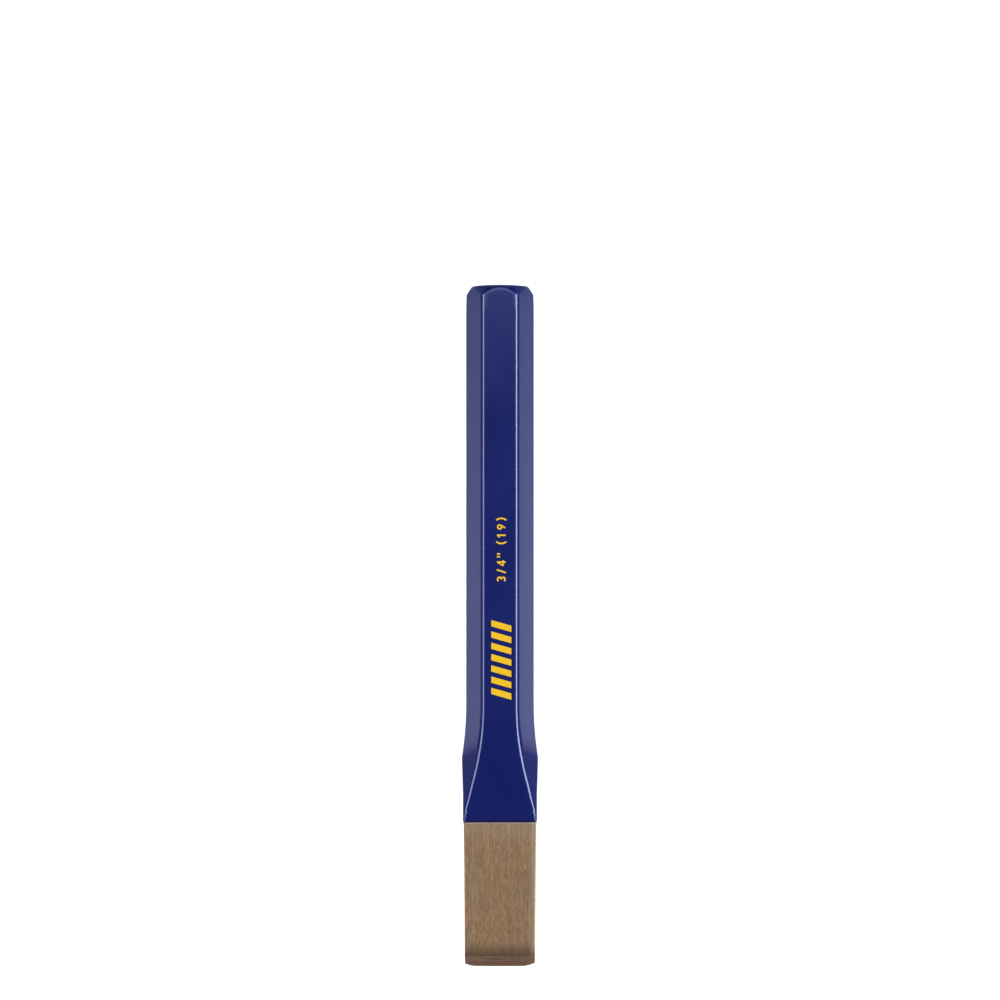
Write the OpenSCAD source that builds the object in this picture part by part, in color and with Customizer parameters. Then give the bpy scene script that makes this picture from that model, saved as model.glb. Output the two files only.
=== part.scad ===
// Flat cold chisel for brick, block and mortar, 3/4 inch wide, forged in one piece from 5/8 inch
// hexagon bar. The forging carries a dipped enamel coat, a clear lacquer on its ground blade and
// two printed marks on the enamel.
//
// Millimetres. The chisel lies on its lower hexagon flat: X runs across the blade, Y along the
// axis towards the struck head, Z up. Stations along the axis are measured from the cutting edge.

/* [Bar and length] */
// Overall length, from the cutting edge to the crown of the enamelled head
overall_length = 184.15; // [160:0.05:210]
// Width across the flats of the hexagon bar (5/8 inch)
bar_flats = 15.875; // [15:0.125:17]
// Rounding radius of the bar's two outer corners, left and right
bar_corner = 1.05; // [0.7:0.05:1.4]
// Rounding radius of the four edges along the bar's upper and lower flats
bar_ridge = 2; // [1:0.1:2.4]

/* [Flare] */
// Station where the bar begins to spread into the blade
flare_start = 71; // [68:0.5:76]
// Station of the shoulder, the widest place of the forging
shoulder_at = 56.4; // [54:0.2:60]
// Width at the shoulder
shoulder_width = 20.4; // [19.5:0.1:21.5]
// Station where the slanted side facets have run out into the blade's corners
facets_end = 42.5; // [40:0.5:46]
// Width of the forged blade where the side facets run out
root_width = 19.74; // [19.2:0.02:20.2]
// Rounding radius of the long corners there
root_corner = 1.3; // [0.7:0.05:1.5]
// Rounding radius of the wide face's edges beside the shoulder, where it is largest
flare_ridge = 2.6; // [2:0.1:3]

/* [Blade] */
// Width of the lacquered blade at the cutting edge (3/4 inch)
blade_width = 19.05; // [18:0.05:19.5]
// Extra width of the ground blade at the enamel line
blade_draft = 0.5; // [0:0.05:0.6]
// Slope of each wide face of the blade to the axis
wedge_angle = 5.8; // [5:0.1:6.2]
// Rounding radius of the ground blade's long corners
blade_corner = 0.2; // [0.15:0.05:0.6]
// Width of the small flat in the middle of each corner rounding of the blade
blade_chamfer = 0.12; // [0.1:0.01:0.4]

/* [Cutting edge] */
// Length of the two cutting bevels along the axis
bevel_length = 2.3; // [1.6:0.1:3]
// Slope of each cutting bevel to the axis, half of the edge's included angle
bevel_angle = 30; // [27:1:35]
// Station where the wide faces begin to roll over towards the bevels
belly_start = 5.8; // [4.5:0.1:8]
// Thickness of the blunt land along the very edge
edge_land = 0.2; // [0.1:0.05:0.5]
// How far the middle of the cutting edge stands ahead of its two corners
edge_bow = 0.8; // [0:0.1:1]

/* [Struck head] */
// Slope of the turned chamfer round the head, to the axis
head_chamfer_angle = 32; // [25:1:40]
// Radius of the striking face, where chamfer and face would meet without their blend
striking_radius = 7.25; // [6.4:0.05:7.6]
// Radius of the crowned striking face
crown_radius = 60; // [40:5:200]
// Rounding radius between the chamfer and the striking face
head_blend = 1.2; // [0.6:0.1:1.6]

/* [Finishes] */
// Thickness of the enamel
enamel = 0.15; // [0.1:0.01:0.25]
// Station of the line that the enamel was dipped to
enamel_line = 39.2; // [37:0.1:40]
// Thickness of the clear lacquer on the ground blade
lacquer = 0.05; // [0.04:0.01:0.08]
// Bare strip behind the cutting edge, without lacquer
bare_edge = 1.4; // [1:0.1:1.5]
// Thickness of the printing ink
ink = 0.05; // [0.03:0.01:0.1]

/* [Printed marks] */
// Height of the numerals
figure_height = 2.35; // [1.8:0.05:2.8]
// Station where the numerals begin
figures_at = 104.0; // [100:0.5:110]
// Width of the hatched emblem, across the flat
emblem_width = 5.4; // [4:0.1:6]
// Length of the hatched emblem, along the axis
emblem_length = 21.4; // [16:0.2:26]
// Station where the emblem begins
emblem_at = 72.3; // [71:0.1:76]
// Number of bars in the emblem
emblem_bars = 7; // [4:1:9]
// Sideways offset of both marks from the middle of the flat
mark_offset = 0.35; // [0:0.05:0.6]

/* [Hidden] */

// Half thickness of the bare bar, and the heights of the axis and of the upper enamelled flat
bar_half = bar_flats / 2;
axis_z = bar_half + enamel;
top_z = 2 * axis_z;
steel_length = overall_length - enamel;

// The two slopes that draw the blade's side view, and the slope at the end of its belly
wedge_slope = tan(wedge_angle);
belly_slope = tan(wedge_angle + 8);
bevel_half = edge_land / 2 + bevel_length * tan(bevel_angle);
belly_length = belly_start - bevel_length;
belly_half = bevel_half + (wedge_slope + belly_slope) / 2 * belly_length;

// Station where a wide face would meet the bar's flat, and half the length of their blend
wedge_end = belly_start + (bar_half - belly_half) / wedge_slope;
wedge_blend = 8;

// Tilt of the side facets away from the wide face's normal: on the bar, and on the blade
bar_tilt = 60;
blade_tilt = 45;

// Their turn begins this far before the shoulder and takes this length
tilt_lead = 7;
tilt_length = 12;

// Exponents of the two spreading curves: the wide face's long edges, and the outer corners
flat_power = 2.4;
corner_power = 2;
bow_power = 6;

// Points across half a wide face, round a ridge, down a side facet, and round an outer corner
flat_points = 4;
ridge_points = 4;
facet_points = 3;
side_points = 3;

// Pitch of the numerals along their line, and their stroke
figure_pitch = 2.1;
figure_stroke = 0.42;
arc_steps = 10;

// Thickness and slant of the emblem's bars, as shares of their pitch
emblem_bar = 0.56;
emblem_slant = 0.5;

// ---- Small helpers ----

// Share of the way from a to b, kept between 0 and 1, and the same with soft ends
function share(a, b, v) = min(1, max(0, (v - a) / (b - a)));
function soft_share(a, b, v) = let (u = share(a, b, v)) u * u * (3 - 2 * u);
function mix(a, b, u) = a + (b - a) * u;
function reversed(list) = [for (i = [len(list) - 1:-1:0]) list[i]];
function polar(centre, r, angle) = centre + r * [cos(angle), sin(angle)];

// ---- Side view and plan view of the forging, by station ----

// Half thickness: cutting bevel, belly, straight wedge, blend and bar
function half_thickness(s) =
    s < bevel_length ? edge_land / 2 + s * tan(bevel_angle) :
    s < belly_start ?
        let (u = (s - bevel_length) / belly_length)
        bevel_half + belly_length * (belly_slope * u + (wedge_slope - belly_slope) * u * u / 2) :
    s < wedge_end - wedge_blend ? belly_half + (s - belly_start) * wedge_slope :
    s < wedge_end + wedge_blend ?
        bar_half - wedge_slope * pow(wedge_end + wedge_blend - s, 2) / (4 * wedge_blend) :
    bar_half;

// Rounding radius of the blade's long corners, never more than the thin cutting edge can hold
function blade_radius(s) =
    min(mix(blade_corner, root_corner, soft_share(enamel_line - 1.2, facets_end, s)),
        0.6 * half_thickness(s));

// Rounding radii along the forging: at the outer corners, and along the edges of the wide faces
function side_radius(s) = mix(blade_radius(s), bar_corner, soft_share(facets_end, 52, s));
function ridge_radius(s) =
    blade_radius(s) + (flare_ridge - root_corner) * soft_share(enamel_line, 50, s)
    - (flare_ridge - bar_ridge) * soft_share(57, flare_start, s);

// Half width of the bar over its two outer corners
bar_half_width = (bar_half - bar_corner) / cos(30) + bar_corner;

// Half width: swelling to the shoulder, straight to the root, then the step of the ground blade
function half_width(s) =
    s > shoulder_at ?
        mix(bar_half_width, shoulder_width / 2,
            pow(share(flare_start, shoulder_at, s), corner_power)) :
    s > facets_end ? mix(shoulder_width, root_width, share(shoulder_at, facets_end + 4, s)) / 2 :
    let (ground = blade_width / 2 - lacquer + blade_draft / 2 * pow(s / enamel_line, 2))
    mix(ground, root_width / 2, soft_share(enamel_line - 1.8, facets_end - 1, s));

// Half width of the wide face, up to where its edge begins to round
function face_half(s) =
    let (bar_face = (bar_half - bar_ridge) * tan(30),
         blade_face = half_width(s) - side_radius(s) - blade_chamfer)
    mix(bar_face, blade_face, pow(share(flare_start, facets_end, s), flat_power));

// Tilt of the side facets
function facet_tilt(s) =
    mix(bar_tilt, blade_tilt,
        soft_share(shoulder_at + tilt_lead, shoulder_at + tilt_lead - tilt_length, s));

// How far the middle of a section is pushed ahead of its edges near the cutting edge
function bow(s, x) =
    edge_bow * pow(1 - share(0, belly_start, s), 2) * pow(min(1, abs(x) * 2 / blade_width), bow_power);

// ---- Sections ----

// Upper right quarter of the section at station s, grown all round by a finish of this thickness.
// It runs from beside the middle of the wide face, over the ridge and down the side facet, which
// touches both roundings, to the outer corner.
function quarter(s, grow) =
    let (p = ridge_radius(s),
         q = side_radius(s),
         t = half_thickness(s) - p,
         a = face_half(s),
         b = half_width(s) - q,
         c = max(0, t + (p - q) / cos(facet_tilt(s)) - (b - a) * tan(facet_tilt(s))),
         facet = atan2(b - a, t - c) - asin((p - q) / norm([b - a, t - c])),
         ridge_end = polar([a, t], p + grow, facet),
         side_start = polar([b, c], q + grow, facet))
    concat([for (k = [1:flat_points]) [a * k / flat_points, t + p + grow]],
           [for (k = [1:ridge_points]) polar([a, t], p + grow, mix(90, facet, k / ridge_points))],
           [for (k = [1:facet_points]) mix(ridge_end, side_start, k / (facet_points + 1))],
           [for (k = [0:side_points])
               polar([b, c], q + grow, facet * (1 - k / (side_points + 0.5)))]);

// The section as a closed ring, cut back to a circle of the given radius where the head is turned
function ring(s, grow, limit = 1000) =
    let (q = quarter(s, grow),
         upper = concat([for (p = reversed(q)) [-p.x, p.y]], [[0, half_thickness(s) + grow]], q),
         whole = concat(upper, [for (p = reversed(upper)) [p.x, -p.y]]))
    [for (p = whole)
        let (kept = p * min(1, limit / norm(p)))
        [kept.x, s + bow(s, kept.x) - overall_length / 2, kept.y + axis_z]];

// Stations: close together where the shape turns, far apart along the bar
stations = concat([0, bare_edge, bevel_length],
                  [for (k = [1:3]) bevel_length + belly_length * k / 3],
                  [20, 32], [for (k = [0:3]) mix(35, enamel_line, k / 4)], [enamel_line],
                  [for (s = [enamel_line + 0.7:0.9:facets_end + 1]) s],
                  [for (s = [facets_end + 2:1.5:shoulder_at - 0.5]) s], [shoulder_at],
                  [for (s = [shoulder_at + 1.2:1.8:flare_start + 1]) s],
                  [flare_start + 2, overall_length / 2 + 10, overall_length - 20]);

// Turned outline of the head, as pairs of radius and station: the chamfer's cone, a small arc that
// touches cone and crown, and the crown, an arc about a point far down the axis
function head_outline(grow) =
    let (top = steel_length,
         crown_centre = [0, top - crown_radius],
         normal = [cos(head_chamfer_angle), sin(head_chamfer_angle)],
         along = [-normal.y, normal.x],
         reach = normal * ([striking_radius, top] - crown_centre) - head_blend,
         side = sqrt(pow(crown_radius - head_blend, 2) - reach * reach),
         blend_centre = crown_centre + reach * normal + side * along,
         turn = atan2(blend_centre.y - crown_centre.y, blend_centre.x),
         cone_end = blend_centre + (head_blend + grow) * normal,
         cone_start = cone_end - along * (bar_half_width + grow - cone_end.x) / normal.y)
    concat([for (k = [0:5]) mix(cone_start, cone_end, k / 6)],
           [for (k = [0:4])
               polar(blend_centre, head_blend + grow, mix(head_chamfer_angle, turn, k / 4))],
           [for (k = [1:3]) polar(crown_centre, crown_radius + grow, mix(turn, 90, k / 4))]);

// Rings from one station to another, and those of the head
function rings(from, to, grow) = [for (s = stations) if (s >= from && s <= to) ring(s, grow)];
function head_rings(grow) = [for (p = head_outline(grow)) ring(p.y, grow, p.x)];

// A closed skin through rings of equal length. Looped, the last ring meets the first again, and
// otherwise strips between the upper and lower halves of the end rings close it.
module lofted(rings, looped = false) {
    n = len(rings[0]);
    last = (len(rings) - 1) * n;
    bands = [for (i = [0:len(rings) - (looped ? 1 : 2)], k = [0:n - 1])
        let (a = i * n, b = (a + n) % (last + n), next = (k + 1) % n)
        each [[a + k, b + k, b + next], [a + k, b + next, a + next]]];
    strips = looped ? [] : [for (k = [0:n / 2 - 2])
        each [[k, k + 1, n - 2 - k], [k, n - 2 - k, n - 1 - k]]];
    far_strips = [for (t = strips) [last + t[2], last + t[1], last + t[0]]];
    polyhedron([for (r = rings) each r], concat(bands, strips, far_strips));
}

// ---- Printed marks, drawn in their own plane: reading runs along +X, capitals stand up +Y ----

// A curved stroke about a centre
module arc_stroke(centre, radius, from, to) {
    angles = [for (k = [0:arc_steps]) mix(from, to, k / arc_steps)];
    outer = [for (angle = angles) polar(centre, radius + figure_stroke / 2, angle)];
    inner = [for (angle = reversed(angles)) polar(centre, radius - figure_stroke / 2, angle)];
    polygon(concat(outer, inner));
}

// A straight stroke from one point to another, with square ends
module straight_stroke(from, to) {
    side = (to - from) / norm(to - from) * figure_stroke / 2;
    across = [-side.y, side.x];
    polygon([from - across, to - across, to + across, from + across]);
}

module figure_three() {
    r = figure_height / 4 - figure_stroke / 8;
    arc_stroke([0.65, figure_height - r - figure_stroke / 2 + 0.05], r, 150, -90);
    arc_stroke([0.65, r + figure_stroke / 2 - 0.05], r, 90, -150);
}

module figure_four() {
    bar_low = 0.5;
    bar_high = bar_low + 0.9 * figure_stroke;
    stem_left = 0.88;
    stem_right = stem_left + figure_stroke;
    difference() {
        polygon([[0, bar_low], [stem_left, bar_low], [stem_left, 0], [stem_right, 0],
                 [stem_right, bar_low], [stem_right + 0.25, bar_low], [stem_right + 0.25, bar_high],
                 [stem_right, bar_high], [stem_right, figure_height], [stem_left, figure_height],
                 [0, bar_high]]);
        polygon([[0.42, bar_high], [stem_left, bar_high], [stem_left, figure_height - 0.68]]);
    }
}

module figure_one() {
    stem_left = 0.62;
    stem_right = stem_left + figure_stroke;
    polygon([[stem_left, 0], [stem_right, 0], [stem_right, figure_height],
             [stem_right - 0.3, figure_height], [stem_left - 0.4, figure_height - 0.45],
             [stem_left - 0.4, figure_height - 0.85], [stem_left, figure_height - 0.6]]);
}

module figure_nine() {
    r = 0.52;
    centre = [0.75, figure_height - r - figure_stroke / 2];
    translate(centre) difference() {
        circle(r + figure_stroke / 2, $fn = 24);
        circle(r - figure_stroke / 2, $fn = 24);
    }
    straight_stroke(centre + [0.9 * r, -0.4 * r], [0.5, 0.1]);
}

module slash() {
    straight_stroke([0.3, -0.05], [1.15, figure_height + 0.05]);
}

module inch_mark() {
    for (x = [0.4, 1.15]) straight_stroke([x, figure_height - 0.85], [x, figure_height]);
}

module bracket() {
    arc_stroke([2.6, figure_height / 2], 2.0, 138, 222);
}

// Puts a mark on the upper flat, reading along the axis from a station, centred across the flat
module on_flat(station, height) {
    translate([mark_offset + height / 2, station - overall_length / 2, top_z])
        rotate([0, 0, 90]) linear_extrude(ink) children();
}

// ---- The sub-parts ----

// The forging: blade, flare, bar and turned head in one skin
module forged_chisel() {
    color("#8c6f52") lofted(concat(rings(0, overall_length, 0), head_rings(0)));
}

// The enamel: its inside lies on the steel, from the head down to the line, and its outside
// comes back up over the head
module enamel_coat() {
    inside = concat(rings(enamel_line, overall_length, 0), head_rings(0));
    outside = concat(rings(enamel_line, overall_length, enamel), head_rings(enamel));
    color("#1c2a66") lofted(concat(reversed(inside), outside));
}

// The lacquer: a sleeve on the ground blade, open at both ends
module blade_lacquer() {
    inside = rings(bare_edge, enamel_line, 0);
    outside = rings(bare_edge, enamel_line, lacquer);
    color("#a88660") lofted(concat(reversed(inside), outside), looped = true);
}

module size_figures() {
    color("#f0c438") on_flat(figures_at, figure_height) {
        figure_three();
        translate([figure_pitch, 0]) slash();
        translate([2 * figure_pitch, 0]) figure_four();
        translate([3 * figure_pitch, 0]) inch_mark();
        translate([4.6 * figure_pitch, 0]) bracket();
        translate([5.55 * figure_pitch, 0]) figure_one();
        translate([6.65 * figure_pitch, 0]) figure_nine();
        translate([8.4 * figure_pitch, 0]) mirror([1, 0]) bracket();
    }
}

module hatch_emblem() {
    // The bars and their slant take up the length together
    pitch = emblem_length / (emblem_bars + emblem_slant - 1 + emblem_bar);
    bar = emblem_bar * pitch;
    slant = emblem_slant * pitch;
    color("#f0c438") on_flat(emblem_at, emblem_width)
        for (k = [0:emblem_bars - 1])
            translate([k * pitch, 0])
                polygon([[0, 0], [bar, 0], [slant + bar, emblem_width], [slant, emblem_width]]);
}

forged_chisel();
enamel_coat();
blade_lacquer();
size_figures();
hatch_emblem();
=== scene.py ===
"""Looks of the flat cold chisel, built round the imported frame.

Blender works in metres. The section functions work in millimetres, with stations measured along
the axis from the cutting edge, as the CAD source does.
"""
import math

import bpy
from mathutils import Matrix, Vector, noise


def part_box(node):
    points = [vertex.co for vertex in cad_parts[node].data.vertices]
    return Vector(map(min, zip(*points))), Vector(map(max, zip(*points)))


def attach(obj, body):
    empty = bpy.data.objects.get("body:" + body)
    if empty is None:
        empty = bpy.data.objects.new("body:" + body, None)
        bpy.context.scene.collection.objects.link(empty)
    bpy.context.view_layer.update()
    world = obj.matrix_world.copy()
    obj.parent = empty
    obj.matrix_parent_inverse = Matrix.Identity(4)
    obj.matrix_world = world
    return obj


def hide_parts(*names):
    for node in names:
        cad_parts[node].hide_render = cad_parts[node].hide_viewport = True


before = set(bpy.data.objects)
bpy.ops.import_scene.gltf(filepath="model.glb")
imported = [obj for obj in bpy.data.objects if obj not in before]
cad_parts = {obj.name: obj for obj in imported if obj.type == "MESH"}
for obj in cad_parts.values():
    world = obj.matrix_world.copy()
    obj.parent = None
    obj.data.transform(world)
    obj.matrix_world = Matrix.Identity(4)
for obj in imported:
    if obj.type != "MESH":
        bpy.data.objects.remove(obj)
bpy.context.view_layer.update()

MM = 0.001


def box_mm(node):
    """Lowest and highest corner of a CAD node, in millimetres."""
    low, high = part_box(node)
    return low / MM, high / MM


# ---- Sizes read from the frame ----

STEEL_LOW, STEEL_HIGH = box_mm("forged_chisel")
COAT_LOW, COAT_HIGH = box_mm("enamel_coat")
LACQUER_LOW, LACQUER_HIGH = box_mm("blade_lacquer")
EDGE_Y = STEEL_LOW.y
BAR_HALF = (STEEL_HIGH.z - STEEL_LOW.z) / 2
AXIS_Z = (STEEL_HIGH.z + STEEL_LOW.z) / 2
ENAMEL = COAT_HIGH.z - STEEL_HIGH.z
ENAMEL_LINE = COAT_LOW.y - EDGE_Y
BARE_EDGE = LACQUER_LOW.y - EDGE_Y
STEEL_TOP = STEEL_HIGH.y - EDGE_Y
SHOULDER_HALF = (STEEL_HIGH.x - STEEL_LOW.x) / 2

# ---- Driving values of the forging ----

BAR_CORNER = 1.05
BAR_RIDGE = 2.0
FLARE_START = 71.0
SHOULDER_AT = 56.4
FACETS_END = 42.5
ROOT_HALF = 9.87
ROOT_CORNER = 1.3
FLARE_RIDGE = 2.6
BLADE_HALF = 9.525
BLADE_DRAFT = 0.5
BLADE_CORNER = 0.2
BLADE_CHAMFER = 0.12
WEDGE_SLOPE = math.tan(math.radians(5.8))
BELLY_SLOPE = math.tan(math.radians(13.8))
BEVEL_LENGTH = 2.3
BEVEL_SLOPE = math.tan(math.radians(30))
BELLY_START = 5.8
EDGE_LAND = 0.2
WEDGE_BLEND = 8.0
BAR_TILT = math.radians(60)
BLADE_TILT = math.radians(45)
TILT_LEAD = 7.0
TILT_LENGTH = 12.0
FLAT_POWER = 2.4
CORNER_POWER = 2.0

# Stations where the outer corners have the bar's rounding, where the ridges' rounding is widest and
# where it begins to narrow, and how far before the enamel the blade's step and its rounding begin
SIDE_SETTLED_AT = 52.0
RIDGE_WIDEST_AT = 50.0
RIDGE_NARROWS_AT = 57.0
STEP_LEAD = 1.8
ROUNDING_LEAD = 1.2

# Most of the half thickness that the blade's rounding may take up
ROUNDING_SHARE = 0.6

# Half windows over which the plan view's kinks are rounded: of the sides, and of the wide faces
SIDE_WINDOW = 0.7
FACE_WINDOW = 0.9

# The head
HEAD_ANGLE = math.radians(32)
STRIKING_RADIUS = 7.25
CROWN_RADIUS = 60.0
HEAD_BLEND = 1.2

# Thickness of the lacquer, which the blade's full width includes
LACQUER = 0.05

# Softness of the edge between the flats and the turned chamfer. Then the outer corners: their tiny
# crown, its height as a share of the side's flat half, and the least that half can be.
HEAD_CREASE = 0.36
SIDE_CROWN = 0.004
SIDE_CROWN_AT = 0.55
LEAST_SIDE = 0.02

# Loss at the blade's end: its depth over the whole width, and at each worn corner the depth, the
# place across the blade where it begins, and how sharply it grows. Then the nicks and the grit.
WORN_BOW = 0.10
WORN_LEFT = (0.62, -7.0, 1.3)
WORN_RIGHT = (0.85, 6.2, 1.8)
NICK_DEPTH = 0.05
GRIT_DEPTH = 0.02

# Unevenness of the dip line, and depth of the hollows that the forging dies left
LINE_WAVE = 0.045
HOLLOW_DEPTH = 0.012

BEVEL_HALF = EDGE_LAND / 2 + BEVEL_LENGTH * BEVEL_SLOPE
BELLY_LENGTH = BELLY_START - BEVEL_LENGTH
BELLY_HALF = BEVEL_HALF + (WEDGE_SLOPE + BELLY_SLOPE) / 2 * BELLY_LENGTH
WEDGE_END = BELLY_START + (BAR_HALF - BELLY_HALF) / WEDGE_SLOPE
BAR_HALF_WIDTH = (BAR_HALF - BAR_CORNER) / math.cos(math.radians(30)) + BAR_CORNER


# ---- Small helpers ----

def share(a, b, value):
    """Share of the way from a to b, kept between 0 and 1."""
    return min(1.0, max(0.0, (value - a) / (b - a)))


def soft_share(a, b, value):
    """The same with soft ends."""
    u = share(a, b, value)
    return u * u * (3 - 2 * u)


def mix(a, b, u):
    return a + (b - a) * u


def steps(first, last, count):
    """Evenly spaced values, both ends included."""
    return [mix(first, last, k / count) for k in range(count + 1)]


def soft_min(a, b, reach):
    """The smaller of two lengths, with a rounded change from one to the other."""
    h = min(1.0, max(0.0, 0.5 + (b - a) / (2 * reach)))
    return mix(b, a, h) - reach * h * (1 - h)


def softened(curve, s, reach):
    """Mean of a curve over a short window, which rounds its kinks."""
    return sum(curve(s + reach * k / 3) for k in range(-3, 4)) / 7


# ---- The forging by station ----

def half_thickness(s):
    """Cutting bevel, belly, straight wedge, blend and bar."""
    if s < BEVEL_LENGTH:
        return EDGE_LAND / 2 + s * BEVEL_SLOPE
    if s < BELLY_START:
        u = (s - BEVEL_LENGTH) / BELLY_LENGTH
        return BEVEL_HALF + BELLY_LENGTH * (BELLY_SLOPE * u + (WEDGE_SLOPE - BELLY_SLOPE) * u * u / 2)
    if s < WEDGE_END - WEDGE_BLEND:
        return BELLY_HALF + (s - BELLY_START) * WEDGE_SLOPE
    if s < WEDGE_END + WEDGE_BLEND:
        return BAR_HALF - WEDGE_SLOPE * (WEDGE_END + WEDGE_BLEND - s) ** 2 / (4 * WEDGE_BLEND)
    return BAR_HALF


def blade_radius(s):
    """Rounding of the blade's long corners, never more than the thin cutting edge can hold."""
    wanted = mix(BLADE_CORNER, ROOT_CORNER, soft_share(ENAMEL_LINE - ROUNDING_LEAD, FACETS_END, s))
    return min(wanted, ROUNDING_SHARE * half_thickness(s))


def side_radius(s):
    """Rounding of the outer corners."""
    return mix(blade_radius(s), BAR_CORNER, soft_share(FACETS_END, SIDE_SETTLED_AT, s))


def ridge_radius(s):
    """Rounding along the edges of the wide faces."""
    swell = (FLARE_RIDGE - ROOT_CORNER) * soft_share(ENAMEL_LINE, RIDGE_WIDEST_AT, s)
    narrowing = (FLARE_RIDGE - BAR_RIDGE) * soft_share(RIDGE_NARROWS_AT, FLARE_START, s)
    return blade_radius(s) + swell - narrowing


def sharp_half_width(s):
    """Half width with its kinks: the swelling, the straight root and the step of the blade."""
    if s > SHOULDER_AT:
        swelling = share(FLARE_START, SHOULDER_AT, s) ** CORNER_POWER
        return mix(BAR_HALF_WIDTH, SHOULDER_HALF, swelling)
    if s > FACETS_END:
        return mix(SHOULDER_HALF, ROOT_HALF, share(SHOULDER_AT, FACETS_END + 4, s))
    ground = BLADE_HALF - LACQUER + BLADE_DRAFT / 2 * (max(0.0, s) / ENAMEL_LINE) ** 2
    return mix(ground, ROOT_HALF, soft_share(ENAMEL_LINE - STEP_LEAD, FACETS_END - 1, s))


def half_width(s):
    return softened(sharp_half_width, s, SIDE_WINDOW)


def sharp_face_half(s):
    """Half width of the wide face, up to where its edge begins to round."""
    bar_face = (BAR_HALF - BAR_RIDGE) * math.tan(math.radians(30))
    blade_face = half_width(s) - side_radius(s) - BLADE_CHAMFER
    return mix(bar_face, blade_face, share(FLARE_START, FACETS_END, s) ** FLAT_POWER)


def face_half(s):
    return softened(sharp_face_half, s, FACE_WINDOW)


def facet_tilt(s):
    """Tilt of the side facets away from the wide face's normal."""
    turned = soft_share(SHOULDER_AT + TILT_LEAD, SHOULDER_AT + TILT_LEAD - TILT_LENGTH, s)
    return mix(BAR_TILT, BLADE_TILT, turned)


# ---- Sections ----

def polar(centre, radius, angle):
    return (centre[0] + radius * math.cos(angle), centre[1] + radius * math.sin(angle))


def quarter(s, grow, detail):
    """Upper right quarter of a section, grown all round by a finish of this thickness.

    It runs from beside the middle of the wide face, over the ridge and down the side facet, which
    touches both roundings, to the outer corner.
    """
    flat, ridge, facet, side = detail
    p = ridge_radius(s)
    q = side_radius(s)
    t = half_thickness(s) - p
    a = face_half(s)
    b = half_width(s) - q
    tilt = facet_tilt(s)
    c = max(LEAST_SIDE, t + (p - q) / math.cos(tilt) - (b - a) * math.tan(tilt))
    turn = math.atan2(b - a, t - c) - math.asin((p - q) / math.hypot(b - a, t - c))
    ridge_end = polar((a, t), p + grow, turn)
    side_start = polar((b, c), q + grow, turn)
    points = [(a * math.sin(math.pi / 2 * k / flat), t + p + grow) for k in range(1, flat + 1)]
    points += [polar((a, t), p + grow, mix(math.pi / 2, turn, k / ridge)) for k in range(1, ridge + 1)]
    for k in range(1, facet + 1):
        u = (1 - math.cos(math.pi * k / (facet + 1))) / 2
        points.append((mix(ridge_end[0], side_start[0], u), mix(ridge_end[1], side_start[1], u)))
    points += [polar((b, c), q + grow, turn * (1 - k / side)) for k in range(side + 1)]
    points.append((b + q + grow + SIDE_CROWN, c * SIDE_CROWN_AT))
    return points


def worn_corner(x, corner, depth, start, growth):
    """Loss at one corner of the edge, from where it begins to the corner itself."""
    return depth * share(start, corner, x) ** growth


def edge_wear(x, s):
    """How far the blade's end stands back at this place across it, fading along the blade."""
    bow = WORN_BOW * (abs(x) / BLADE_HALF) ** 3
    left = worn_corner(x, -BLADE_HALF, *WORN_LEFT)
    right = worn_corner(x, BLADE_HALF, *WORN_RIGHT)
    nicks = NICK_DEPTH * max(0.0, noise.noise((x * 0.9, 3.7, 0.4)))
    nicks += GRIT_DEPTH * noise.noise((x * 3.1, 8.2, 0.1))
    fade = (1 - share(0, BELLY_START, s)) ** 2
    return (bow + left + right) * fade + max(0.0, nicks) * fade ** 4


def ring(s, grow, detail, limit=1000.0, station=None):
    """A closed section as (place, grain) pairs. The grain is girth, station and height in mm.

    At the turned head the section is cut back to a circle of radius limit.
    """
    q = quarter(s, grow, detail)
    middle = (0.0, half_thickness(s) + grow)
    upper = [(-x, z) for x, z in reversed(q)] + [middle] + q
    girths = [0.0]
    for p, o in zip(q, [middle] + q[:-1]):
        girths.append(girths[-1] + math.hypot(p[0] - o[0], p[1] - o[1]))
    signed = [-g for g in reversed(girths[1:])] + girths
    whole = upper + [(x, -z) for x, z in reversed(upper)]
    signed = signed + list(reversed(signed))
    made = []
    for (x, z), girth in zip(whole, signed):
        radius = max(1e-6, math.hypot(x, z))
        kept = soft_min(radius, limit, HEAD_CREASE) / radius
        at = s if station is None else station
        y = EDGE_Y + at + edge_wear(x * kept, s)
        made.append(((x * kept, y, z * kept + AXIS_Z), (girth, at, z * kept)))
    return made


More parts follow.
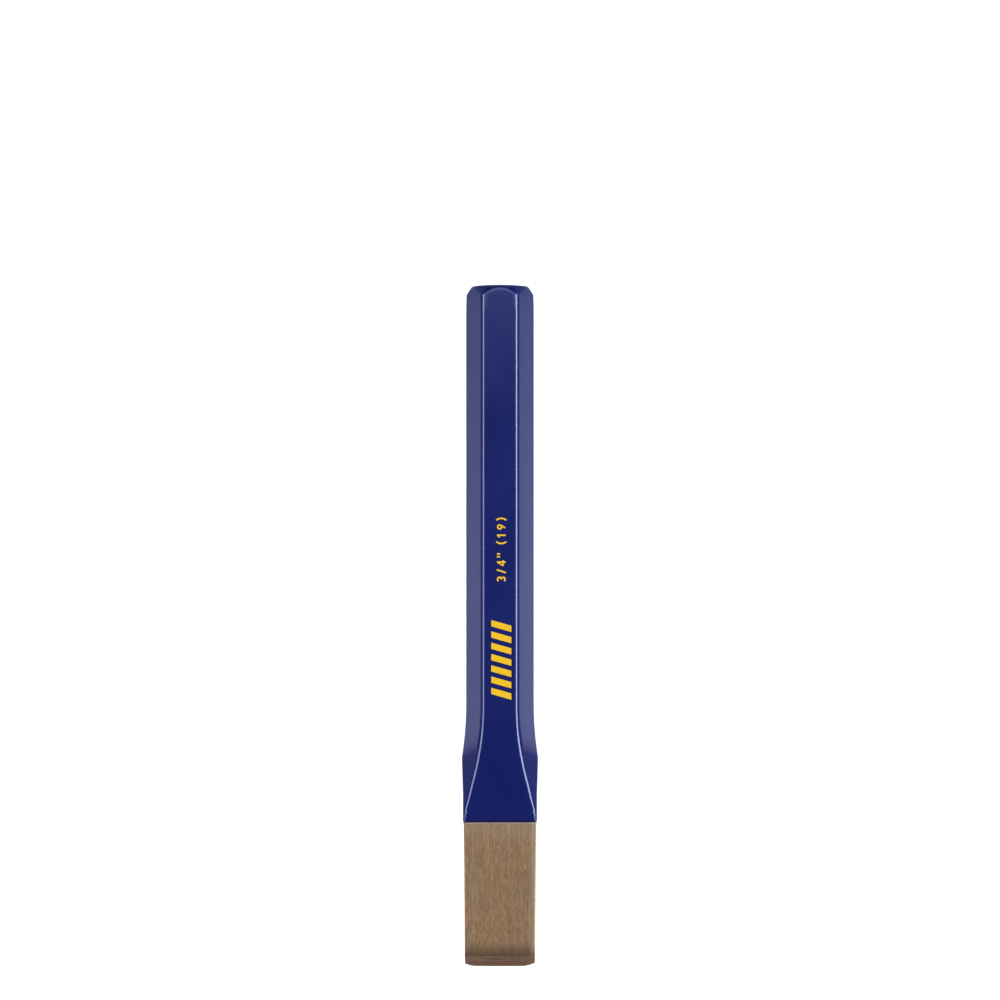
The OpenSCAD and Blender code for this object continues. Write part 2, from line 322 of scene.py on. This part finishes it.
def head_outline(grow):
    """Turned outline of the head as (radius, station): chamfer cone, blend arc and crown arc."""
    crown = (0.0, STEEL_TOP - CROWN_RADIUS)
    normal = (math.cos(HEAD_ANGLE), math.sin(HEAD_ANGLE))
    along = (-normal[1], normal[0])
    corner = (STRIKING_RADIUS, STEEL_TOP)
    reach = normal[0] * (corner[0] - crown[0]) + normal[1] * (corner[1] - crown[1]) - HEAD_BLEND
    side = math.sqrt((CROWN_RADIUS - HEAD_BLEND) ** 2 - reach ** 2)
    blend = (crown[0] + reach * normal[0] + side * along[0], crown[1] + reach * normal[1] + side * along[1])
    turn = math.atan2(blend[1] - crown[1], blend[0])
    cone_end = polar(blend, HEAD_BLEND + grow, HEAD_ANGLE)
    back = (BAR_HALF_WIDTH + grow - cone_end[0]) / normal[1]
    cone_start = (cone_end[0] - along[0] * back, cone_end[1] - along[1] * back)
    outline = [(mix(cone_start[0], cone_end[0], u), mix(cone_start[1], cone_end[1], u))
               for u in steps(0, 0.97, 18)]
    outline += [polar(blend, HEAD_BLEND + grow, angle) for angle in steps(HEAD_ANGLE, turn, 12)]
    outline += [polar(crown, CROWN_RADIUS + grow, mix(turn, math.pi / 2, k / 8)) for k in range(1, 8)]
    return outline


# ---- Meshes ----

def band(a, b, count):
    """Quads between two rings that start at vertices a and b."""
    return [(a + (k + 1) % count, b + (k + 1) % count, b + k, a + k) for k in range(count)]


def cap(first, count):
    """Strips that close a ring between its upper and lower halves."""
    return [(first + k, first + count - 1 - k, first + count - 2 - k, first + k + 1)
            for k in range(count // 2 - 1)]


def make_mesh(name, rings, faces, extra=()):
    """A mesh from rings of (place, grain), with a smooth-shaded surface and the grain stored."""
    points = [p for r in rings for p in r] + list(extra)
    mesh = bpy.data.meshes.new(name)
    mesh.from_pydata([tuple(c * MM for c in place) for place, _ in points], [], faces)
    grain = mesh.attributes.new("grain", "FLOAT_VECTOR", "POINT")
    grain.data.foreach_set("vector", [c for _, g in points for c in g])
    mesh.validate()
    mesh.shade_smooth()
    made = bpy.data.objects.new(name, mesh)
    bpy.context.scene.collection.objects.link(made)
    return made


def bands(rings):
    """All the bands between successive rings of one list."""
    count = len(rings[0])
    return [f for i in range(len(rings) - 1) for f in band(i * count, (i + 1) * count, count)]


def fan(ring_start, count, tip):
    """Triangles from a ring to the vertex that closes it."""
    return [(ring_start + (k + 1) % count, tip, ring_start + k) for k in range(count)]


# ---- The pieces ----

# Points across half a wide face, round a ridge, down a side facet and round an outer corner
STEEL_DETAIL = (24, 4, 6, 4)
LACQUER_DETAIL = (20, 6, 5, 6)
COAT_DETAIL = (16, 12, 18, 10)

# The enamel's rounded lip: distance from the dip line, and share of the full thickness there
LIP = ((0.0, 0.25), (0.03, 0.62), (0.07, 0.85), (0.13, 0.96), (0.2, 1.0))

# Station just behind the crest of the bevels
PAST_BEVEL = BEVEL_LENGTH + 0.12


def flare_stations():
    """Stations of the enamelled part below the head."""
    return (steps(ENAMEL_LINE + 0.35, FACETS_END + 4, 16) + steps(FACETS_END + 4.4, FLARE_START + 2, 60)
            + steps(FLARE_START + 4, STEEL_TOP - 14, 42))


def coat_skin():
    """Outside of the enamel, from its lip to the crown."""
    rings = [ring(ENAMEL_LINE + back, ENAMEL * full, COAT_DETAIL) for back, full in LIP]
    rings += [ring(s, ENAMEL, COAT_DETAIL) for s in flare_stations()]
    rings += [ring(s, ENAMEL, COAT_DETAIL) for s in steps(STEEL_TOP - 12, STEEL_TOP - 6.2, 4)]
    rings += [ring(min(s, STEEL_TOP), ENAMEL, COAT_DETAIL, limit=radius, station=s)
              for radius, s in head_outline(ENAMEL)]
    return [[waved(point) for point in r] for r in rings]


def waved(point):
    """A slightly uneven dip line, and shallow hollows left by the forging dies."""
    (x, y, z), grain = point
    s = y - EDGE_Y
    near = 1 - share(ENAMEL_LINE, ENAMEL_LINE + 1.2, s)
    line = LINE_WAVE * (noise.noise((x * 0.5, 1.3, z * 0.4)) + 0.5 * noise.noise((x * 1.7, 5.1, z * 1.3)))
    hollow = HOLLOW_DEPTH * (1 + noise.noise((x * 0.11, s * 0.07, z * 0.11)))
    hollow *= share(ENAMEL_LINE, ENAMEL_LINE + 3, s)
    pull = 1 - hollow / max(1.0, math.hypot(x, z - AXIS_Z))
    return (x * pull, y + max(0.0, line) * near, AXIS_Z + (z - AXIS_Z) * pull), grain


def enamel_coat():
    """The enamel: its inside lies on the steel, and its outside comes back up over the head."""
    outside = coat_skin()
    inner_stations = [ENAMEL_LINE] + steps(ENAMEL_LINE + 1.2, FLARE_START + 1, 30) + [STEEL_TOP - 6.5]
    inside = [ring(s, 0.0, COAT_DETAIL) for s in inner_stations]
    inside += [ring(min(s, STEEL_TOP), 0.0, COAT_DETAIL, limit=radius, station=s)
               for radius, s in head_outline(0.0)]
    rings = list(reversed(inside)) + outside
    count = len(rings[0])
    outer_tip = len(rings) * count
    faces = bands(rings)
    last = (len(rings) - 1) * count
    faces += fan(last, count, outer_tip)
    faces += [(k, outer_tip + 1, (k + 1) % count) for k in range(count)]
    tips = [((0.0, COAT_HIGH.y, AXIS_Z), (0.0, STEEL_TOP, 0.0)),
            ((0.0, STEEL_HIGH.y, AXIS_Z), (0.0, STEEL_TOP, 0.0))]
    return make_mesh("dipped_enamel", rings, faces, tips)


def forging():
    """The steel, with its stations close together at the cutting edge."""
    stations = [0.0, 0.05, 0.12] + steps(0.25, BEVEL_LENGTH, 10) + steps(PAST_BEVEL, BELLY_START, 10)
    stations += steps(8, ENAMEL_LINE, 12) + steps(40.5, FLARE_START + 2, 22) + [STEEL_TOP - 8]
    rings = [ring(s, 0.0, STEEL_DETAIL) for s in stations]
    rings += [ring(min(s, STEEL_TOP), 0.0, STEEL_DETAIL, limit=radius, station=s)
              for radius, s in head_outline(0.0)]
    count = len(rings[0])
    tip = len(rings) * count
    last = tip - count
    faces = bands(rings) + cap(0, count) + fan(last, count, tip)
    return make_mesh("forged_steel", rings, faces, [((0.0, STEEL_HIGH.y, AXIS_Z), (0.0, STEEL_TOP, 0.0))])


def lacquer_sleeve():
    """The lacquer: a sleeve on the ground blade, open at both ends."""
    stations = steps(BARE_EDGE, BEVEL_LENGTH, 6) + steps(PAST_BEVEL, BELLY_START, 14)
    stations += steps(6.8, ENAMEL_LINE - 2, 26) + steps(ENAMEL_LINE - 1.6, ENAMEL_LINE, 5)
    inside = [ring(s, 0.0, LACQUER_DETAIL) for s in stations]
    outside = [ring(s, LACQUER, LACQUER_DETAIL) for s in stations]
    rings = list(reversed(inside)) + outside
    count = len(rings[0])
    faces = bands(rings) + band((len(rings) - 1) * count, 0, count)
    return make_mesh("blade_finish", rings, faces)


# ---- Materials ----

def add(tree, kind, inputs=None, **settings):
    """Adds a shader node. Each input takes a plain value or another node's output."""
    made = tree.nodes.new("ShaderNode" + kind)
    for key, value in settings.items():
        setattr(made, key, value)
    for key, value in (inputs or {}).items():
        if isinstance(value, bpy.types.NodeSocket):
            tree.links.new(value, made.inputs[key])
        else:
            made.inputs[key].default_value = value
    return made


def new_material(name):
    material = bpy.data.materials.new(name)
    material.use_nodes = True
    tree = material.node_tree
    tree.nodes.clear()
    return material, tree


def close_material(tree, shader):
    out = tree.nodes.new("ShaderNodeOutputMaterial")
    tree.links.new(shader, out.inputs["Surface"])


def scaled(tree, vector, scale):
    """A vector stretched by three factors."""
    return add(tree, "VectorMath", {0: vector, 1: scale}, operation="MULTIPLY").outputs[0]


def grain_noise(tree, vector, scale, detail=2.0, roughness=0.5):
    """Noise on a stretched vector, from 0 to 1."""
    place = scaled(tree, vector, scale)
    inputs = {"Vector": place, "Scale": 1.0, "Detail": detail, "Roughness": roughness}
    return add(tree, "TexNoise", inputs).outputs["Fac"]


def ramp(tree, value, low, high, to_low=0.0, to_high=1.0):
    """Maps a value between two limits onto a new range, and keeps it there."""
    inputs = {"Value": value, "From Min": low, "From Max": high, "To Min": to_low, "To Max": to_high}
    return add(tree, "MapRange", inputs).outputs["Result"]


def blend(tree, factor, a, b, blend_type="MIX"):
    """Mixes two colours, each a plain colour or an output."""
    made = add(tree, "Mix", {"Factor": factor}, data_type="RGBA", blend_type=blend_type)
    for index, colour in ((6, a), (7, b)):
        if isinstance(colour, bpy.types.NodeSocket):
            tree.links.new(colour, made.inputs[index])
        else:
            made.inputs[index].default_value = (*colour, 1.0)
    return made.outputs[2]


def maths(tree, operation, a, b=0.0, c=0.0):
    return add(tree, "Math", {0: a, 1: b, 2: c}, operation=operation).outputs[0]


def bump(tree, height, distance, strength=1.0, normal=None):
    inputs = {"Height": height, "Distance": distance * MM, "Strength": strength}
    if normal is not None:
        inputs["Normal"] = normal
    return add(tree, "Bump", inputs).outputs["Normal"]


def grain_of(tree):
    """The stored grain: girth, station and height in millimetres."""
    return add(tree, "Attribute", attribute_name="grain", attribute_type="GEOMETRY").outputs["Vector"]


def station_of(tree, grain):
    return add(tree, "SeparateXYZ", {0: grain}).outputs["Y"]


def enamel_material():
    """Gloss enamel, a little uneven in depth, darker in the rim along the dip line."""
    material, tree = new_material("blue_enamel")
    grain = grain_of(tree)
    station = station_of(tree, grain)
    slow = grain_noise(tree, grain, (0.10, 0.05, 0.10), 3.0)
    fine = grain_noise(tree, grain, (1.6, 1.1, 1.6), 3.0)
    specks = grain_noise(tree, grain, (6.0, 6.0, 6.0), 2.0)
    colour = blend(tree, ramp(tree, slow, 0.3, 0.7), (0.0032, 0.0064, 0.0560), (0.0042, 0.0080, 0.0650))
    colour = blend(tree, ramp(tree, fine, 0.25, 0.75, 0.0, 0.25), colour, (0.0028, 0.0050, 0.0420))
    rim = ramp(tree, station, ENAMEL_LINE + 1.1, ENAMEL_LINE + 0.1, 0.0, 0.8)
    colour = blend(tree, rim, colour, (0.0060, 0.0045, 0.0220))
    rough = ramp(tree, maths(tree, "ADD", slow, maths(tree, "MULTIPLY", specks, 0.5)), 0.4, 1.1, 0.05, 0.10)
    normal = bump(tree, fine, 0.0020)
    normal = bump(tree, specks, 0.0006, normal=normal)
    shader = add(tree, "BsdfPrincipled", {
        "Base Color": colour, "Roughness": rough, "IOR": 1.5, "Normal": normal,
        "Specular Tint": (0.60, 0.66, 1.0, 1.0)}).outputs["BSDF"]
    close_material(tree, shader)
    return material


def brushed(tree, grain, streak, hair):
    """Colour of the ground and lacquered wide faces: streaks, hairlines, sparks and long scratches."""
    wide = grain_noise(tree, grain, (0.9, 0.045, 0.05), 2.0)
    spark = grain_noise(tree, grain, (4.3, 0.5, 0.3), 2.0, 0.6)
    scratch = grain_noise(tree, grain, (4.6, 0.035, 0.05), 1.0)
    warmth = grain_noise(tree, grain, (0.35, 0.11, 0.1), 2.0)
    cloud = grain_noise(tree, grain, (0.22, 0.16, 0.1), 2.0)
    broken = grain_noise(tree, grain, (1.5, 0.55, 0.4), 3.0, 0.6)
    colour = blend(tree, ramp(tree, streak, 0.32, 0.68), (0.13, 0.083, 0.049), (0.35, 0.222, 0.122))
    layers = (
        (wide, 0.35, 0.65, 0.55, (0.31, 0.185, 0.092)),
        (hair, 0.40, 0.70, 0.50, (0.11, 0.072, 0.040)),
        (broken, 0.42, 0.62, 0.45, (0.38, 0.25, 0.145)),
        (cloud, 0.40, 0.65, 0.35, (0.20, 0.135, 0.088)),
        (spark, 0.58, 0.72, 0.60, (0.50, 0.345, 0.20)),
        (warmth, 0.50, 0.70, 0.35, (0.30, 0.165, 0.085)),
        (scratch, 0.64, 0.70, 0.45, (0.50, 0.365, 0.24)),
    )
    for pattern, low, high, strength, tint in layers:
        colour = blend(tree, ramp(tree, pattern, low, high, 0.0, strength), colour, tint)
    return colour


def shaded_by_place(tree, grain, station, colour):
    """Paler towards the enamel, darker on the belly, a painted highlight on the right, painted shade at the
    rims.
    """
    top = ramp(tree, station, ENAMEL_LINE - 6.0, ENAMEL_LINE, 0.0, 0.45)
    colour = blend(tree, top, colour, (0.33, 0.245, 0.185))
    lip = ramp(tree, station, ENAMEL_LINE - 0.30, ENAMEL_LINE - 0.12, 0.0, 1.0)
    colour = blend(tree, lip, colour, (0.115, 0.105, 0.12))
    belly = ramp(tree, station, BELLY_START + 1.2, BEVEL_LENGTH + 1.0, 0.0, 0.62)
    colour = blend(tree, belly, colour, (0.085, 0.060, 0.038))
    girth = add(tree, "SeparateXYZ", {0: grain}).outputs["X"]
    # Painted highlight: paler along the right side of both wide faces, where the stronger light falls
    right_side_highlight = ramp(tree, girth, BLADE_HALF - 1.9, BLADE_HALF - 0.7, 0.0, 0.40)
    colour = blend(tree, right_side_highlight, colour, (0.42, 0.31, 0.235))
    # Painted shade: the rounded long corners darkened, which damps their highlight and darkens the edges
    rim = ramp(tree, maths(tree, "ABSOLUTE", girth), BLADE_HALF - 0.30, BLADE_HALF - 0.15, 0.0, 0.55)
    return blend(tree, rim, colour, (0.090, 0.080, 0.045))


def bevelled(tree, grain, station, colour):
    """Cross grinding on the cutting bevels, and a painted highlight on the crest where they begin."""
    cross = grain_noise(tree, grain, (0.3, 7.0, 0.3), 2.0)
    crossed = blend(tree, ramp(tree, cross, 0.35, 0.65), (0.205, 0.124, 0.074), (0.335, 0.208, 0.126))
    bevel = ramp(tree, station, BEVEL_LENGTH + 0.1, BEVEL_LENGTH - 0.1)
    colour = blend(tree, bevel, colour, crossed)
    # Painted highlight: a paler band along the crest where the bevels begin
    crest_highlight = maths(tree, "MULTIPLY", ramp(tree, station, BEVEL_LENGTH - 0.1, BEVEL_LENGTH + 0.15),
                  ramp(tree, station, BEVEL_LENGTH + 0.55, BEVEL_LENGTH + 0.3, 0.0, 0.5))
    return blend(tree, crest_highlight, colour, (0.30, 0.255, 0.185))


def blade_material():
    """Ground steel under bronze-toned lacquer."""
    material, tree = new_material("bronze_lacquer")
    grain = grain_of(tree)
    station = station_of(tree, grain)
    streak = grain_noise(tree, grain, (3.4, 0.15, 0.08), 3.0, 0.6)
    hair = grain_noise(tree, grain, (6.0, 0.50, 0.2), 2.0, 0.6)
    colour = shaded_by_place(tree, grain, station, brushed(tree, grain, streak, hair))
    colour = bevelled(tree, grain, station, colour)
    rough = ramp(tree, streak, 0.3, 0.7, 0.48, 0.36)
    normal = bump(tree, maths(tree, "ADD", streak, maths(tree, "MULTIPLY", hair, 0.5)), 0.006)
    tangent = add(tree, "Tangent", direction_type="RADIAL", axis="Y").outputs["Tangent"]
    shader = add(tree, "BsdfPrincipled", {
        "Base Color": colour, "Metallic": 0.85, "Roughness": rough, "IOR": 1.5, "Normal": normal,
        "Anisotropic": 0.5, "Tangent": tangent}).outputs["BSDF"]
    close_material(tree, shader)
    return material


def steel_material():
    """Bare steel: cross-ground at the edge, and dark with forging scale under the enamel."""
    material, tree = new_material("ground_steel")
    grain = grain_of(tree)
    station = station_of(tree, grain)
    cross = grain_noise(tree, grain, (0.3, 7.0, 0.3), 3.0)
    patch = grain_noise(tree, grain, (0.5, 0.6, 0.5), 3.0)
    colour = blend(tree, ramp(tree, cross, 0.3, 0.7), (0.185, 0.108, 0.066), (0.318, 0.190, 0.118))
    colour = blend(tree, ramp(tree, patch, 0.4, 0.7, 0.0, 0.5), colour, (0.24, 0.14, 0.09))
    bright = ramp(tree, station, 0.22, 0.02, 0.0, 0.6)
    colour = blend(tree, bright, colour, (0.55, 0.47, 0.40))
    scale = ramp(tree, station, ENAMEL_LINE - 0.2, ENAMEL_LINE + 0.2, 0.0, 1.0)
    colour = blend(tree, scale, colour, (0.09, 0.085, 0.08))
    rough = ramp(tree, cross, 0.3, 0.7, 0.5, 0.38)
    normal = bump(tree, cross, 0.008)
    shader = add(tree, "BsdfPrincipled", {
        "Base Color": colour, "Metallic": 0.85, "Roughness": rough, "IOR": 1.5,
        "Normal": normal}).outputs["BSDF"]
    close_material(tree, shader)
    return material


def ink_material():
    """Printed ink with thin patches and pores."""
    material, tree = new_material("yellow_ink")
    place = add(tree, "TexCoord").outputs["Object"]
    patch = grain_noise(tree, place, (900.0, 900.0, 900.0), 3.0)
    pores = grain_noise(tree, place, (5200.0, 5200.0, 5200.0), 2.0)
    colour = blend(tree, ramp(tree, patch, 0.3, 0.7), (0.435, 0.262, 0.0080), (0.385, 0.232, 0.0075))
    colour = blend(tree, ramp(tree, pores, 0.62, 0.75, 0.0, 0.35), colour, (0.33, 0.19, 0.02))
    rough = ramp(tree, patch, 0.3, 0.7, 0.32, 0.45)
    normal = bump(tree, pores, 0.004)
    shader = add(tree, "BsdfPrincipled", {
        "Base Color": colour, "Roughness": rough, "IOR": 1.45, "Normal": normal,
        "Specular Tint": (1.0, 0.75, 0.30, 1.0)}).outputs["BSDF"]
    close_material(tree, shader)
    return material


# Painted shade on the floor, which the enamel mirrors: part of the place (X is the distance to either
# side), where the shade begins, where it is full, its strength and its colour. In turn: towards the
# struck head, past the head, under the chisel as a painted shadow, and far to its sides.
PAINTED_FLOOR_SHADE = (
    ("Y", 0.010, 0.085, 1.0, (0.44, 0.48, 0.66)),
    ("Y", 0.086, 0.105, 1.0, (0.12, 0.12, 0.12)),
    ("X", 0.016, 0.011, 0.7, (0.12, 0.12, 0.13)),
    ("X", 0.026, 0.050, 1.0, (0.20, 0.18, 0.24)),
)


def floor_material():
    """Matt and pale, with painted shade, and a glow to the camera that makes it white."""
    material, tree = new_material("pale_floor")
    place = add(tree, "TexCoord").outputs["Object"]
    mottle = grain_noise(tree, place, (60.0, 60.0, 60.0), 3.0)
    colour = blend(tree, ramp(tree, mottle, 0.3, 0.7), (0.655, 0.685, 0.83), (0.675, 0.705, 0.85))
    split = add(tree, "SeparateXYZ", {0: place})
    parts = {"X": maths(tree, "ABSOLUTE", split.outputs["X"]), "Y": split.outputs["Y"]}
    # Painted shade laid on the floor, one band at a time
    for part, begins, full, strength, shade in PAINTED_FLOOR_SHADE:
        colour = blend(tree, ramp(tree, parts[part], begins, full, 0.0, strength), colour, shade)
    diffuse = add(tree, "BsdfDiffuse", {"Color": colour}).outputs[0]
    seen = add(tree, "LightPath").outputs["Is Camera Ray"]
    level = add(tree, "SeparateColor", {0: colour}).outputs[0]
    glow = maths(tree, "MULTIPLY", seen, maths(tree, "MULTIPLY_ADD", level, -0.9, 1.2))
    light = add(tree, "Emission", {"Color": (1.0, 1.0, 1.0, 1.0), "Strength": glow}).outputs[0]
    shader = add(tree, "AddShader", {0: diffuse, 1: light}).outputs[0]
    close_material(tree, shader)
    return material


# ---- Studio ----

FLOOR_RADIUS = 0.30
FLOOR_CENTRE_Y = 0.03

# Radiance of the room by the Y part of the direction, as (Y, red, green, blue)
WORLD_STOPS = (
    (-1.0, 0.05, 0.05, 0.05),
    (-0.25, 0.07, 0.07, 0.07),
    (-0.02, 0.12, 0.12, 0.13),
    (0.010, 0.12, 0.12, 0.13),
    (0.024, 0.26, 0.26, 0.27),
    (0.037, 1.20, 1.20, 1.25),
    (0.10, 1.90, 1.90, 1.95),
    (0.45, 2.95, 2.95, 3.00),
    (0.65, 2.95, 2.95, 3.00),
    (0.80, 0.30, 0.30, 0.32),
    (1.00, 0.10, 0.10, 0.10),
)

# Highest of those, by which a colour ramp's colours are scaled down
STOP_SCALE = 3.0

# Share of that light which is left near and below the horizon
ROOM_DIMMEST = 0.10

# Radiance of the room at the horizon, added to it
HORIZON_GLOW = (0.29, 0.26, 0.36, 1.0)

# Strips of light: angle from the zenith, distance, width and length, and radiance left and right
STRIP_ANGLE = math.radians(56.5)
STRIP_DISTANCE = 1.0
STRIP_WIDTH = 0.36
STRIP_LENGTH = 0.95
STRIP_LEFT = 9.6
STRIP_RIGHT = 15.5

# Long lens above the axis of the chisel, aimed between its middle and its head
LENS = 199.87
CAMERA_Y = 0.03388
CAMERA_HEIGHT = 1.5


def make_floor():
    """A pale disc a little wider than the view. Beyond it the white surroundings go on."""
    mesh = bpy.data.meshes.new("floor")
    angles = steps(0, 2 * math.pi, 96)[:-1]
    rim = [(FLOOR_RADIUS * math.cos(a), FLOOR_CENTRE_Y + FLOOR_RADIUS * math.sin(a), 0.0) for a in angles]
    mesh.from_pydata(rim, [], [tuple(range(len(rim)))])
    floor = bpy.data.objects.new("floor", mesh)
    bpy.context.scene.collection.objects.link(floor)
    mesh.materials.append(floor_material())


def room_light(tree, split):
    """The dim room: brighter beyond the struck head, and darker near and below the horizon."""
    curve = add(tree, "ValToRGB", {"Fac": ramp(tree, split.outputs["Y"], -1.0, 1.0)})
    set_stops(curve.color_ramp, WORLD_STOPS)
    high = ramp(tree, split.outputs["Z"], 0.42, 0.60, ROOM_DIMMEST, 1.0)
    strength = maths(tree, "MULTIPLY", high, STOP_SCALE)
    return add(tree, "Background", {"Color": curve.outputs["Color"], "Strength": strength}).outputs[0]


def horizon_light(tree, split):
    """A faint glow along the horizon, stronger and higher behind the cutting edge."""
    low = ramp(tree, split.outputs["Z"], 0.14, 0.04)
    behind = maths(tree, "MULTIPLY", ramp(tree, split.outputs["Y"], -0.30, -0.60, 0.0, 1.8),
                   ramp(tree, split.outputs["Z"], 0.44, 0.24))
    level = maths(tree, "MAXIMUM", low, behind)
    return add(tree, "Background", {"Color": HORIZON_GLOW, "Strength": level}).outputs[0]


def make_world():
    """White to the camera, and a graded dim room to the object."""
    world = bpy.data.worlds.new("studio")
    bpy.context.scene.world = world
    world.use_nodes = True
    tree = world.node_tree
    tree.nodes.clear()
    direction = add(tree, "TexCoord").outputs["Generated"]
    split = add(tree, "SeparateXYZ", {0: direction})
    dim = add(tree, "AddShader", {0: room_light(tree, split), 1: horizon_light(tree, split)}).outputs[0]
    white = add(tree, "Background", {"Color": (1.0, 1.0, 1.0, 1.0), "Strength": 1.3}).outputs[0]
    seen = add(tree, "LightPath").outputs["Is Camera Ray"]
    both = add(tree, "MixShader", {0: seen, 1: dim, 2: white}).outputs[0]
    out = tree.nodes.new("ShaderNodeOutputWorld")
    tree.links.new(both, out.inputs["Surface"])


def set_stops(color_ramp, stops):
    """Fills a colour ramp that spans -1 to 1 with colours scaled down to at most 1."""
    while len(color_ramp.elements) < len(stops):
        color_ramp.elements.new(0.5)
    for element, (y, red, green, blue) in zip(color_ramp.elements, stops):
        element.position = (y + 1) / 2
        element.color = (red / STOP_SCALE, green / STOP_SCALE, blue / STOP_SCALE, 1.0)


def strip_light(name, side, radiance):
    """A long softbox beside the chisel, whose light reaches the ridges."""
    lamp = bpy.data.lights.new(name, "AREA")
    lamp.shape = "RECTANGLE"
    lamp.size = STRIP_WIDTH
    lamp.size_y = STRIP_LENGTH
    lamp.energy = radiance * math.pi * STRIP_WIDTH * STRIP_LENGTH
    made = bpy.data.objects.new(name, lamp)
    across = side * STRIP_DISTANCE * math.sin(STRIP_ANGLE)
    made.location = (across, FLOOR_CENTRE_Y, STRIP_DISTANCE * math.cos(STRIP_ANGLE))
    made.rotation_euler = (0.0, side * STRIP_ANGLE, 0.0)
    made.visible_camera = False
    bpy.context.scene.collection.objects.link(made)


def make_camera():
    """Straight above, as far as a long lens stands, with the chisel a little below the middle."""
    lens = bpy.data.cameras.new("camera")
    lens.sensor_width = 36.0
    lens.lens = LENS
    lens.clip_end = 20.0
    made = bpy.data.objects.new("camera", lens)
    made.location = (0.0, CAMERA_Y, CAMERA_HEIGHT + AXIS_Z * MM)
    bpy.context.scene.collection.objects.link(made)
    bpy.context.scene.camera = made


# ---- Putting it together ----

def dress(piece, node, material):
    """Gives a piece its material and lets it stand for its CAD node."""
    piece.data.materials.clear()
    piece.data.materials.append(material)
    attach(piece, "root")
    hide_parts(node)


def print_marks():
    """The printed marks keep their CAD shape and get the ink."""
    ink = ink_material()
    for name in ("size_figures", "hatch_emblem"):
        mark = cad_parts[name]
        for slot in mark.material_slots:
            slot.material = ink


dress(forging(), "forged_chisel", steel_material())
dress(enamel_coat(), "enamel_coat", enamel_material())
dress(lacquer_sleeve(), "blade_lacquer", blade_material())
print_marks()
make_floor()
make_world()
strip_light("softbox_left", -1, STRIP_LEFT)
strip_light("softbox_right", 1, STRIP_RIGHT)
make_camera()
bpy.context.scene.view_settings.view_transform = "Standard"
